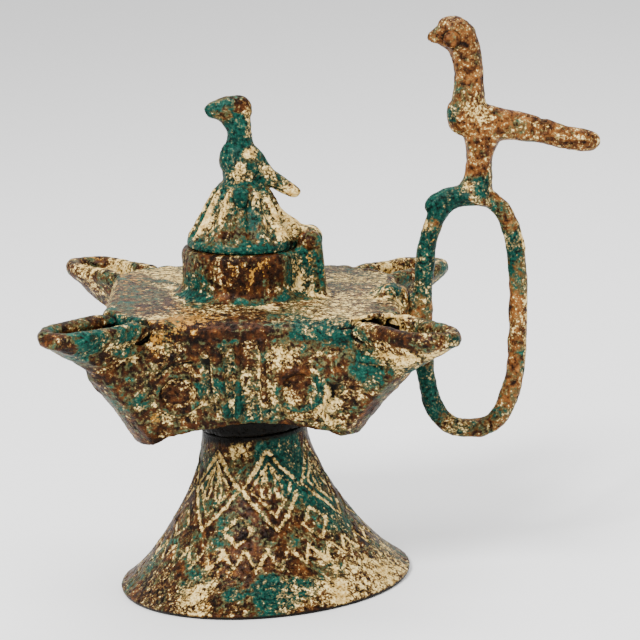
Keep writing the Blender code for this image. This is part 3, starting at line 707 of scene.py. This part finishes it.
def build_body(finish):
    rolls = spout_rolls()
    folds = spout_folds()
    extras = [bars("rolls", rolls), bars("folds", folds), bars("lips", lips())]
    obj = sculpt("lamp_body", extras, *body_skin)
    points, normals, edges, places = surveyed(obj)
    up = places[:, 2]
    depth, cream, dark_grooves_and_shade, teal = body_relief(places)
    on_roll = np.full(len(places), 1e6)
    for run in rolls:
        on_roll = np.minimum(on_roll, near_run(places, run))
    root = 1 - ease(np.hypot(places[:, 0], places[:, 1]), 53.0, 57.0)
    # Painted shade: a dark, sunk band where each rolled rim meets the body.
    roll_root_shade = ridge(np.abs(on_roll - 1.0), 1.8) * root * (up > 30) * (np.abs(places[:, 0]) > 24)
    depth -= 0.9 * roll_root_shade
    dark_grooves_and_shade += 0.7 * roll_root_shade
    for run in folds:
        # Painted shade: a dark crease round each fold.
        shade_under = ridge(np.abs(near_run(places, run) - 0.7), 1.4)
        depth -= 0.35 * shade_under
        dark_grooves_and_shade += 0.35 * shade_under
    for run, width in shadow_slits:
        # Painted shadow: each slit is sunk and painted near-black as a shadowed gap.
        cut = ridge(np.maximum(near_run(places, run), 0), width)
        depth -= 1.6 * cut
        dark_grooves_and_shade += 1.4 * cut
    pits = clouds(places, 0.5, 31)
    still = hinge_quiet(places)
    depth += 0.25 * (pits - 0.5) + 0.7 * (clouds(places, 0.17, 32) - 0.5)
    depth -= 0.35 * ease(clouds(places, 0.75, 33), 0.70, 0.95)
    points = points + normals * (depth * still * MM)[:, None]
    middle = 1 - ease(np.abs(places[:, 0]), 21.0, 28.0)
    brim = ease(up, 34.5, 38.5) * ease(-places[:, 1], 36.5, 40.5) * middle
    points = points + (smoothed(points, edges, 110) - points) * brim[:, None]
    normals, deep = carved(obj, points, edges)
    warp = clouds(places, 0.25, 34)
    cloud = clouds(places, 0.11, 35)
    flat = ease(up, 39.6, 40.4) * (from_collar(places) > 20)
    streaks = clouds(places * (0.35, 1.3, 0.5), 0.35, 38)
    side = ease(38 - up, 0, 2)
    crust = 0.10 + 0.44 * ease(deep, 0.03, 0.35) + 0.26 * ease(cloud, 0.4, 0.85) + cream
    crust += flat * (0.26 * ease(streaks, 0.4, 0.7) - 0.06) - 0.25 * ease(-deep, 0.05, 0.3) * side
    crust += stain(places, body_cream_spots, warp)
    green = 0.19 + 0.32 * ease(clouds(places, 0.085, 37), 0.45, 0.8) + 0.18 * ease(deep, 0.05, 0.4) + teal
    green += 0.10 * flat * ease(1 - streaks, 0.3, 0.6)
    base = ridge(np.abs(from_collar(places) - collar_base_mm), 3.5) * ease(46 - up, 0, 3) * ease(up, 38, 40)
    crust -= 0.35 * base
    green += 0.25 * base
    green += stain(places, body_teal_spots, warp)
    brown = stain(places, body_brown_spots, warp)
    green -= brown
    crust -= 0.5 * brown
    ochre = 0.05 + 0.25 * ease(clouds(places, 0.055, 36), 0.6, 0.85) + stain(places, body_ochre_spots, warp)
    ochre += 0.16 * flat
    # Grime and painted shade: near-black in the deep hollows and towards the body's underside.
    grime = dark_grooves_and_shade + 0.55 * ease(deep, 0.35, 0.9) + 0.25 * ease(18 - up, 6, 16)
    # Painted shadow on the stub under the body, over the foot.
    stub_shade = ease(9.0 - up, 0.5, 2.0) * (np.hypot(places[:, 0], places[:, 1]) < 19.5)
    crust -= 0.6 * stub_shade
    grime += 0.6 * stub_shade
    # Painted shade inside the reservoir and the collar's mouth.
    inside_shade = inside_shade_share(places, normals)
    grime = np.maximum(grime, inside_shade * 0.8)
    dress(obj, "lamp", "lamp_body", "body_metal", finish, crust=crust * (1 - 0.75 * inside_shade) - 0.6 * dark_grooves_and_shade,
          verdigris=green, ochre=ochre, grime=grime)


def hinge_quiet(places):
    """0 where the lid and the pin pass close by, 1 away from them."""
    from_pin = np.hypot(places[:, 0] - hinge_x_mm, places[:, 2] - hinge_z_mm)
    from_pin = np.where(np.abs(places[:, 1]) < 9, from_pin, 99)
    from_seam = np.abs(places[:, 2] - collar_top_mm)
    from_seam = np.where(from_collar(places) < 21, from_seam, 99)
    return 0.15 + 0.85 * ease(np.minimum(from_pin - 4.5, from_seam), 0.4, 2.5)


def inside_shade_share(places, normals):
    """1 inside the reservoir, the share that is painted dark as shade."""
    inner = (np.abs(places[:, 0]) < 43) & (np.abs(places[:, 1]) < 43) & (places[:, 2] < 38.2)
    mouth = (from_collar(places) < 14.6) & (places[:, 2] > 30)
    leaning = np.array(body_place.to_3x3().inverted())
    facing = normals @ leaning.T
    inwards = np.sum(facing[:, :2] * places[:, :2], axis=1) < 0
    ceiling = (facing[:, 2] < -0.5) & (places[:, 2] > 33)
    share = (inner & (inwards | ceiling) & (places[:, 2] > 8)) | mouth
    return share.astype(float)


def body_relief(places):
    """Carving on the four sides, as depth in millimetres, then extra cream, dark grooves with painted shade,
    and green.
    """
    depth, cream, dark_grooves_and_shade, teal = np.zeros((4, len(places)))
    for quarter in range(3):
        angle = math.radians(-90 * (quarter + 1))
        out = places[:, 0] * math.cos(angle) + places[:, 1] * math.sin(angle)
        across = -places[:, 0] * math.sin(angle) + places[:, 1] * math.cos(angle)
        up = places[:, 2]
        here = ((out > 30.5 + (up - 8.8) * 0.25) & (up < 37.5) & (up > 7)).astype(float)
        for path, width, rise, pale in (front_strokes if quarter == 0 else plain_strokes):
            distance = line_distance(across, up, path)
            shape = ridge(distance, width) * here
            depth += rise * shape
            cream += max(pale, 0) * shape
            # Dark in the grooves, partly painted shade.
            dark_grooves_and_shade += max(-pale, 0) * shape
            if rise > 0:
                # Painted shade: a dark, sunk band round each raised stroke.
                edge = ridge(np.abs(distance - width * 0.62), width * 0.5) * here
                depth -= 0.25 * edge
                dark_grooves_and_shade += 0.30 * edge
        for middle, height in medallion_places_mm:
            distance = np.hypot(across - middle, up - height)
            ring = ridge(np.abs(distance - medallion_mm), 2.4) * here
            field = (1 - ease(distance, medallion_mm - 2.2, medallion_mm - 0.8)) * here
            depth += 0.80 * ring - 0.70 * field
            cream += 0.22 * ring - 0.10 * field
            teal += 0.25 * ring - 0.35 * field
    return depth, cream, dark_grooves_and_shade, teal


# Slits under the plate's ends, sunk and painted near-black as shadowed gaps, as a run of (x, y, z, radius)
# and the width of their edge
shadow_slits = [
    ([(26.0, -43.6, 38.9, 0.1), (31.0, -42.0, 39.0, 0.5), (35.6, -38.6, 39.3, 0.9),
      (38.0, -36.2, 38.2, 1.0)], 1.2),
    ([(-30.4, -42.4, 40.6, 0.1), (-33.5, -39.6, 37.4, 0.6), (-40.5, -33.8, 36.8, 0.6)], 1.4),
]

# Strokes on a side: the path as (across, height), its width and rise in millimetres, and how pale it is; a
# paleness below zero paints the groove dark, partly as shade
plain_strokes = [
    ([(-12.6, 29.6), (-11.8, 20.0), (-11.1, 12.6)], 3.4, -1.0, -0.35),
    ([(-5.9, 24.6), (-5.9, 18.9)], 2.6, 0.9, 0.35),
    ([(-3.8, 34.0), (-3.8, 10.4)], 2.4, 0.8, 0.15),
    ([(3.0, 36.0), (3.9, 10.4)], 2.6, 1.0, 0.40),
    ([(-9.6, 35.1), (-8.8, 26.1), (-7.4, 10.4)], 2.8, 0.9, 0.10),
    ([(-0.4, 33.0), (-0.2, 11.0)], 3.6, -0.7, -0.20),
]
front_strokes = plain_strokes + [
    ([(3.7, 15.5), (10.5, 11.7), (19.7, 9.7)], 2.2, 0.6, 0.45),
    ([(24.8, 30.4), (25.1, 18.5)], 2.4, 0.9, 0.2),
    ([(23.0, 21.8), (24.0, 11.9)], 2.8, -0.9, -0.3),
    ([(21.4, 21.8), (22.0, 18.6), (19.7, 12.9), (23.7, 7.8)], 2.2, 0.9, 0.6),
    ([(-27.5, 27.0), (-21.5, 30.9), (-14.3, 34.2)], 2.8, 0.9, 0.3),
    ([(-28.5, 23.6), (-22.5, 27.6), (-13.5, 28.4)], 2.2, -0.8, -0.6),
    ([(-16.0, 31.6), (-13.5, 33.4), (-11.2, 31.6), (-13.5, 28.8), (-16.0, 31.6)], 1.8, 0.5, 0.35),
]

# Stains on the body, in its own frame: (x, y, z, radius, amount)
body_cream_spots = [
    (10.6, -41.0, 33.0, 6.0, 0.35), (-27.5, -43.5, 36.0, 4.0, 0.3), (-50.0, 43.0, 40.0, 9.0, 0.6),
    (-42.0, 50.0, 38.5, 7.0, 0.5), (26.0, -38.5, 18.0, 6.0, 0.25), (31.5, -40.0, 41.0, 4.0, 0.5),
    (42.0, -34.5, 40.0, 4.5, 0.6), (42.6, -51.4, 31.0, 7.0, 0.5), (51.0, -54.0, 34.0, 5.0, 0.35),
    (56.0, -57.0, 36.5, 4.0, 0.3), (34.0, -44.0, 21.0, 5.0, 0.3), (12.5, -8.6, 51.6, 3.5, 0.25),
    (14.0, -6.4, 46.0, 4.0, 0.2), (36.2, -12.1, 40.8, 6.0, 0.25), (-46.0, -46.0, 38.0, 5.0, 0.25),
    (47.0, 47.0, 39.0, 9.0, 0.4), (56.0, 56.0, 38.0, 6.0, 0.4), (44.0, 12.0, 40.0, 8.0, 0.25),
]
body_teal_spots = [
    (-6.5, -42.0, 33.0, 4.0, 0.4), (-6.0, -41.0, 27.0, 3.5, 0.35), (-5.5, -39.5, 20.0, 3.5, 0.4),
    (-5.0, -38.0, 13.0, 4.0, 0.6), (-8.0, -43.0, 37.5, 5.0, 0.4), (19.5, -38.5, 22.0, 4.0, 0.6),
    (10.0, -43.5, 39.0, 6.0, 0.35), (18.0, -43.5, 39.5, 6.0, 0.4), (2.5, -42.0, 30.0, 3.0, 0.3),
    (45.0, -50.0, 28.0, 6.0, 0.35), (18.0, -38.0, 17.0, 5.0, 0.5), (33.4, -42.0, 29.3, 6.0, 0.35),
    (24.0, -43.0, 38.0, 6.0, 0.3), (-45.0, -55.5, 38.0, 7.0, 0.55), (-36.0, -49.0, 36.0, 6.0, 0.4),
    (-36.5, -37.5, 38.5, 6.0, 0.7), (-38.0, 37.0, 38.0, 5.0, 0.6), (58.0, -58.0, 37.5, 4.0, 0.6),
    (14.5, -7.0, 50.0, 7.0, 0.4), (-17.0, -12.0, 44.0, 7.0, 0.5), (39.3, -4.0, 42.0, 6.0, 0.5),
    (-12.0, -38.0, 22.0, 4.0, 0.3), (-52.0, -52.0, 33.0, 8.0, 0.3), (50.0, -52.0, 31.0, 5.0, 0.3),
]
body_brown_spots = [
    (12.5, -40.0, 24.0, 5.0, 0.5), (-1.0, -41.0, 28.0, 3.5, 0.3), (-21.0, -38.0, 18.4, 5.0, 0.4),
    (14.2, -38.0, 19.6, 5.0, 0.4), (-6.0, -43.0, 39.5, 12.0, 0.4), (0.8, -17.5, 50.3, 8.0, 0.5),
    (41.0, -53.0, 38.0, 8.0, 0.5), (-50.0, -60.0, 39.5, 6.0, 0.2), (-55.0, 43.0, 35.5, 7.0, 0.4),
    (-8.0, -19.0, 47.0, 7.0, 0.2), (12.0, -40.0, 26.0, 5.0, 0.3),
]
body_ochre_spots = [
    (-24.5, -43.0, 38.5, 5.5, 0.34), (-27.0, -42.5, 33.0, 4.0, 0.3), (-23.0, -30.0, 41.0, 6.0, 0.25),
    (-27.5, -37.0, 11.0, 2.5, 0.5), (-6.5, -17.7, 49.4, 5.0, 0.28), (2.5, -17.5, 51.0, 4.5, 0.24),
    (-14.5, -42.5, 39.7, 6.0, 0.2),
]


# The lid


# Stains on the lid, in the body's frame: (x, y, z, radius, amount)
lid_cream_spots = [
    (-13, -6, 64, 5, 0.3), (6, -10, 64, 6, 0.35), (4, -2.4, 77.5, 3, 0.2), (12, -1, 71.5, 4, 0.15),
    (-1, -3, 83, 3, 0.25), (9.5, -2.7, 66, 4, 0.4), (13, -2.7, 62, 4, 0.4), (-3.5, -4.2, 77.5, 3.5, 0.48),
    (-1.0, -2, 94.5, 2.5, 0.45), (-1.0, -2, 89.5, 2.0, 0.35), (-1.5, -3, 83.3, 2.6, 0.45),
    (5.0, -2.4, 76.6, 3.0, 0.25), (9.5, -2, 73.3, 4, 0.2),
]
lid_teal_spots = [
    (-6, -3.5, 86, 6, 0.3), (-7.3, -4.5, 78.5, 4, 0.3), (-3.6, -11, 71.5, 4, 0.5),
]
lid_bare_spots = [
    (0, -13, 61, 7.0, 0.50), (-8, -12, 60, 4, 0.15), (-6, -3.5, 87, 5, 0.2), (3, -10, 67, 4, 0.2),
]
lid_brown_spots = [
    (-9, 0, 97.5, 6, 0.45), (-4, 0, 98.0, 4.5, 0.5), (0.5, -13, 60, 3, 0.2), (14, 0, 75, 5, 0.2),
]
lid_crack_spots = [
    (12.8, -6.0, 59.8, 1.5, 0.9), (12.6, -7.2, 57.4, 1.4, 0.9), (12.0, -8.2, 55.2, 1.3, 0.9),
]


def lid_fill():
    """The bird's breast, back, head and chin, and the knob low on its near side."""
    breast = curved([(-4.6, 0, 86.5, 2.8), (-6.0, 0, 81.2, 4.1), (-4.2, 0, 77.2, 4.1), (-1.5, 0, 76.0, 3.8)])
    back = curved([(-2.2, 0, 84.0, 2.6), (0.7, 0, 81.0, 3.0), (3.2, 0, 78.0, 2.3), (6.5, 0, 75.2, 1.4)])
    head = curved([(-10.8, 0, 96.4, 2.2), (-7.0, 0, 97.3, 2.5), (-3.4, 0, 97.4, 2.7), (-2.6, 0, 94.0, 2.6)])
    chin = curved([(-8.4, 0, 94.2, 2.2), (-6.8, 0, 91.8, 2.1), (-4.6, 0, 90.4, 2.4)])
    knob = curved([(-3.4, -8.6, 71.6, 3.0), (-3.5, -11.4, 70.9, 2.5)])
    return [breast, back, head, chin, knob]


def build_lid(finish):
    obj = sculpt("lid", [bars("fill", lid_fill(), 12)], *lid_skin)
    points, normals, edges, places = surveyed(obj)
    from_axis = from_collar(places)
    rise = places[:, 2] - collar_top_mm
    angle = np.arctan2(places[:, 1], places[:, 0] - collar_offset_mm)
    wall = ease(from_axis - (14.0 - rise * 0.55), 0, 0.6)
    dome = ease(rise, 2.4, 3.6) * (1 - ease(rise, 16.5, 18.5)) * wall
    ribs = np.cos(lid_ribs * angle + (clouds(places, 0.15, 51) - 0.5) * 2.5)
    depth = dome * (0.42 * ribs - 0.25 * ease(-ribs, 0.6, 1.0))
    depth += 0.16 * (clouds(places, 0.6, 52) - 0.5) + 0.34 * (clouds(places, 0.25, 53) - 0.5)
    bird = ease(rise, 18.5, 20.0)
    depth -= 0.25 * bird * ease(clouds(places, 0.5, 54), 0.6, 0.9)
    points = points + normals * (depth * hinge_quiet(places) * MM)[:, None]
    normals, deep = carved(obj, points, edges)
    warp = clouds(places, 0.3, 55)
    cloud = clouds(places, 0.16, 56)
    crust = 0.14 + dome * 0.44 * ease(ribs, -0.3, 0.5) * ease(cloud, 0.1, 0.5) + 0.25 * ease(deep, 0.05, 0.35)
    crust += 0.16 * ease(cloud, 0.5, 0.85) * (1 - bird)
    crust += stain(places, lid_cream_spots, warp)
    green = 0.36 + 0.25 * ease(clouds(places, 0.12, 57), 0.4, 0.75) + 0.5 * (1 - ease(rise, 1.6, 2.8))
    green += 0.22 * bird
    green += stain(places, lid_teal_spots, warp)
    knob = 1 - ease(np.linalg.norm(places - knob_tip_mm, axis=1), 2.4, 3.4)
    crust -= 0.5 * knob
    crust -= stain(places, lid_bare_spots, warp)
    green -= stain(places, lid_brown_spots, warp)
    ochre = 0.2 * ease(clouds(places, 0.2, 58), 0.7, 0.9)
    # Grime and painted shade: dark in the deep hollows and between the ribs.
    grime = 0.55 * ease(deep, 0.2, 0.6) + 0.3 * dome * ease(-ribs, 0.6, 1.0)
    # Painted shade on the inside of the lid's dome.
    shade_under = (from_axis < 13.2 - rise * 0.45) & (rise < 14) & (rise > -1)
    grime = np.maximum(grime, 0.9 * shade_under)
    # Painted shade in the crease round the knob.
    grime += 0.6 * ridge(np.abs(np.linalg.norm(places - knob_place_mm, axis=1) - 3.4), 1.0)
    grime += stain(places, lid_crack_spots, warp)
    dress(obj, "lid", "lid", "lid_metal", finish, crust=crust - 0.4 * shade_under,
          verdigris=green, ochre=ochre, grime=grime)


def build_pin(finish):
    """The hinge pin, with its ends hammered over the lugs."""
    half = [(7.2, 0.9), (7.05, 1.6), (6.75, 2.05), (6.50, 2.1), (6.48, 1.1), (0.0, 1.1)]
    ends = [(-y, radius) for y, radius in half] + half[-2::-1]
    run = [(hinge_x_mm, y, hinge_z_mm, radius) for y, radius in ends]
    mesh = bars("hinge_pin_cast", [run], 8)
    obj = new_object("hinge_pin_cast", mesh)
    mesh.shade_smooth()
    dress(obj, "lamp", "hinge_pin", "pin_metal", finish)


# The handle


# Stains on the handle, in the body's frame: (x, y, z, radius, amount)
handle_cream_spots = [
    (52.4, 0, 61.0, 3, 0.5), (67.5, -4, 96.5, 5, 0.25), (64.5, -2.5, 73.6, 2.5, 0.5),
    (49.0, -1, 40.0, 5, 0.15), (60.6, -2, 0.5, 5, 0.3), (82.5, 0, 56, 4, 0.15),
]
handle_bare_spots = [
    (55.0, -2, 69.0, 5, 0.3), (60.5, -2.5, 68.5, 4.5, 0.35), (64, -4, 103, 6, 0.1),
]
handle_teal_spots = [
    (54.5, -2, 68.5, 6, 1.0), (60.0, -2.5, 70.0, 5, 0.8), (51.2, -2.6, 54, 7, 0.5),
    (50.0, -2.5, 45, 7, 0.4), (67.9, -4, 73.5, 3.5, 0.6), (53.6, -2, 10, 8, 0.5), (77.1, -2, 55.6, 5, 0.35),
    (58.6, -3, 95, 3, 0.6), (62, 0, 66, 5, 0.2),
]
handle_brown_spots = [
    (80, 0, 28, 14, 0.3), (66, 0, 80, 6, 0.3),
]


def handle_fill():
    """The ring's long shoulder, the bird's back and breast, its forehead and the nub of its beak."""
    shoulder = curved([(52.6, 0, 66.2, 2.6), (55.6, 0, 68.4, 3.1), (60.5, 0, 69.9, 3.1),
                       (66.0, 0, 70.8, 2.9)])
    back = curved([(63.6, 0, 94.4, 4.0), (70.0, 0, 93.2, 3.8), (79.0, 0, 91.7, 3.4),
                   (88.0, 0, 89.9, 2.7), (95.0, 0, 88.7, 1.4)])
    breast = curved([(61.6, 0, 98.0, 3.8), (62.0, 0, 93.4, 4.5), (65.5, 0, 90.4, 3.6)])
    head = curved([(57.0, 0, 117.8, 4.4), (59.2, 0, 119.0, 4.9), (61.0, 0, 117.0, 4.6)])
    beak = curved([(53.2, 0, 117.6, 1.7), (55.0, 0, 118.0, 2.2)])
    return [shoulder, back, breast, head, beak]


def build_handle(finish):
    obj = sculpt("handle", [bars("fill", handle_fill(), 12)], *handle_skin)
    points, normals, edges, places = surveyed(obj)
    across = places[:, 0]
    up = places[:, 2]
    mirrored = np.stack((across, np.abs(places[:, 1]), up), axis=1)
    eye = np.linalg.norm(mirrored - eye_place_mm, axis=1)
    depth = 0.20 * (clouds(places, 0.55, 71) - 0.5) + 0.6 * (clouds(places, 0.2, 72) - 0.5)
    depth -= 0.3 * ease(clouds(places, 0.8, 73), 0.70, 0.95)
    depth += 0.35 * (1 - ease(eye, 1.6, 2.4)) - 0.45 * ridge(np.abs(eye - 2.9), 1.1)
    tail_line = line_distance(across, up, [(84.0, 94.6), (88.2, 91.4), (84.6, 88.4)])
    wing_line = line_distance(across, up, [(62.0, 97.0), (68.0, 92.4), (80.0, 90.2)])
    cuts = np.maximum(ridge(tail_line, 1.3), 0.7 * ridge(wing_line, 1.4)) * (up > 84) * (across > 60)
    depth -= 0.4 * cuts
    points = points + normals * (depth * MM)[:, None]
    normals, deep = carved(obj, points, edges)
    warp = clouds(places, 0.3, 74)
    cloud = clouds(places, 0.14, 75)
    bird = ease(up, 76, 82)
    flecks = ease(cloud, 0.4, 0.85) * (1 - 0.7 * bird)
    crust = 0.20 + 0.04 * bird + 0.35 * ease(deep, 0.05, 0.4) + 0.20 * flecks
    crust += stain(places, handle_cream_spots, warp)
    crust += 0.26 * ease(normals[:, 0], 0.3, 0.8) * (across > 68) * (1 - bird) - 0.08 * (1 - bird)
    crust -= stain(places, handle_bare_spots, warp)
    green = 0.34 - 0.26 * bird + 0.25 * ease(clouds(places, 0.1, 76), 0.5, 0.85)
    green += stain(places, handle_teal_spots, warp)
    green -= stain(places, handle_brown_spots, warp)
    ochre = 0.18 * ease(clouds(places, 0.13, 77), 0.6, 0.85)
    # Grime and painted shade: near-black in the deep hollows, with the eye's ring and the cut lines, and
    # darker below the bird.
    grime = 0.5 * ease(deep, 0.3, 0.8) + 0.7 * ridge(np.abs(eye - 2.9), 1.4) + 0.45 * cuts + 0.20 * (1 - bird)
    dress(obj, "lamp", "handle", "handle_metal", finish, crust=crust - 0.3 * (eye < 3),
          verdigris=green, ochre=ochre, grime=grime)


# The stage


def plain(name, colour, roughness):
    made = bpy.data.materials.new(name)
    made.use_nodes = True
    shader = made.node_tree.nodes["Principled BSDF"]
    shader.inputs["Base Color"].default_value = (*colour, 1)
    shader.inputs["Roughness"].default_value = roughness
    return made


def build_floor():
    work = bmesh.new()
    bmesh.ops.create_grid(work, x_segments=1, y_segments=1, size=6.0)
    mesh = bpy.data.meshes.new("floor")
    work.to_mesh(mesh)
    work.free()
    floor = new_object("floor", mesh)
    mesh.materials.append(plain("pale floor", (0.87, 0.87, 0.87), 0.9))


def soft_light(name, place, target, size, power):
    lamp = bpy.data.lights.new(name, "AREA")
    lamp.shape = "SQUARE"
    lamp.size = size
    lamp.energy = power
    obj = new_object(name, lamp)
    obj.location = place
    obj.rotation_euler = (Vector(target) - Vector(place)).to_track_quat("-Z", "Y").to_euler()


def light_the_scene():
    world = bpy.data.worlds.new("pale")
    world.use_nodes = True
    bpy.context.scene.world = world
    background = world.node_tree.nodes["Background"]
    background.inputs["Color"].default_value = (1.0, 1.0, 1.0, 1)
    background.inputs["Strength"].default_value = 1.15
    middle = (0, 0, 0.08)
    soft_light("key", (-0.45, -0.75, 0.85), middle, 0.35, 24.0)
    soft_light("fill", (0.8, -0.6, 0.35), middle, 0.7, 3.5)
    soft_light("top", (0.1, 0.3, 1.1), middle, 0.8, 12.0)


def place_camera():
    """The photograph's view, a long lens a little above the lamp."""
    camera = bpy.data.cameras.new("camera")
    camera.lens = lens_mm
    camera.sensor_width = sensor_mm
    camera.clip_end = 50.0
    obj = new_object("camera", camera)
    aim_x, aim_z = view_aim
    back = view_distance * math.cos(view_down)
    rise = view_distance * math.sin(view_down)
    aim = Matrix.Translation((aim_x, -back, aim_z + rise))
    obj.matrix_world = body_place @ aim @ Matrix.Rotation(math.pi / 2 - view_down, 4, "X")
    bpy.context.scene.camera = obj


def build():
    build_foot(patina("foot patina"))
    build_body(patina("body patina"))
    build_lid(patina("lid patina"))
    build_handle(patina("handle patina", copper_tones))
    build_pin(patina("pin patina", attributes=False))
    build_floor()
    light_the_scene()
    place_camera()


build()
